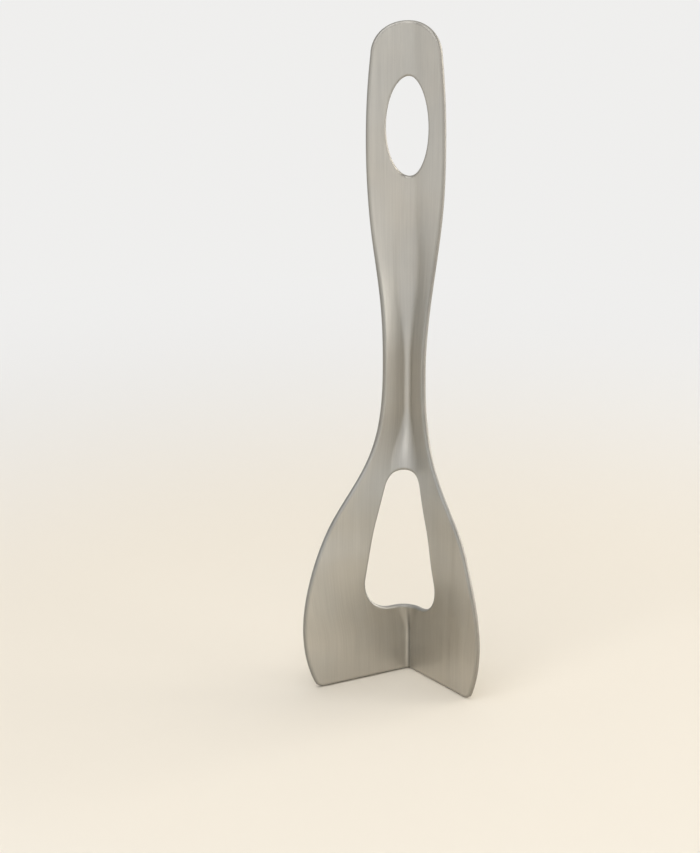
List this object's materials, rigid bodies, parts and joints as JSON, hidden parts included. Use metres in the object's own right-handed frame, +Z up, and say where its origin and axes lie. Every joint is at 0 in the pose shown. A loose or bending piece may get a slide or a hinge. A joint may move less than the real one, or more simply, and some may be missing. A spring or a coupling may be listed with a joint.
{
  "type": "folded butter cutter",
  "caption": "Hand-held butter cutter folded from sheet steel: blades at a right angle, a window between bowed arms, a creased neck and a softly folded handle with a hanging hole.",
  "frame": {"origin": "on the fold at the blades' edges, at mid thickness of the sheet; the tool stands on z = 0", "axes": "+Z up along the fold from the blades to the handle, +Y out of the back of the fold, the open side faces -Y, X across the fold with x = 0 the plane of symmetry"},
  "size_m": [0.0404, 0.0207, 0.1489],
  "materials": {
    "satin_steel": "satin, finely brushed lengthwise"
  },
  "bodies": {
    "root": {"cutter_body": "satin_steel"}
  },
  "joints": []
}
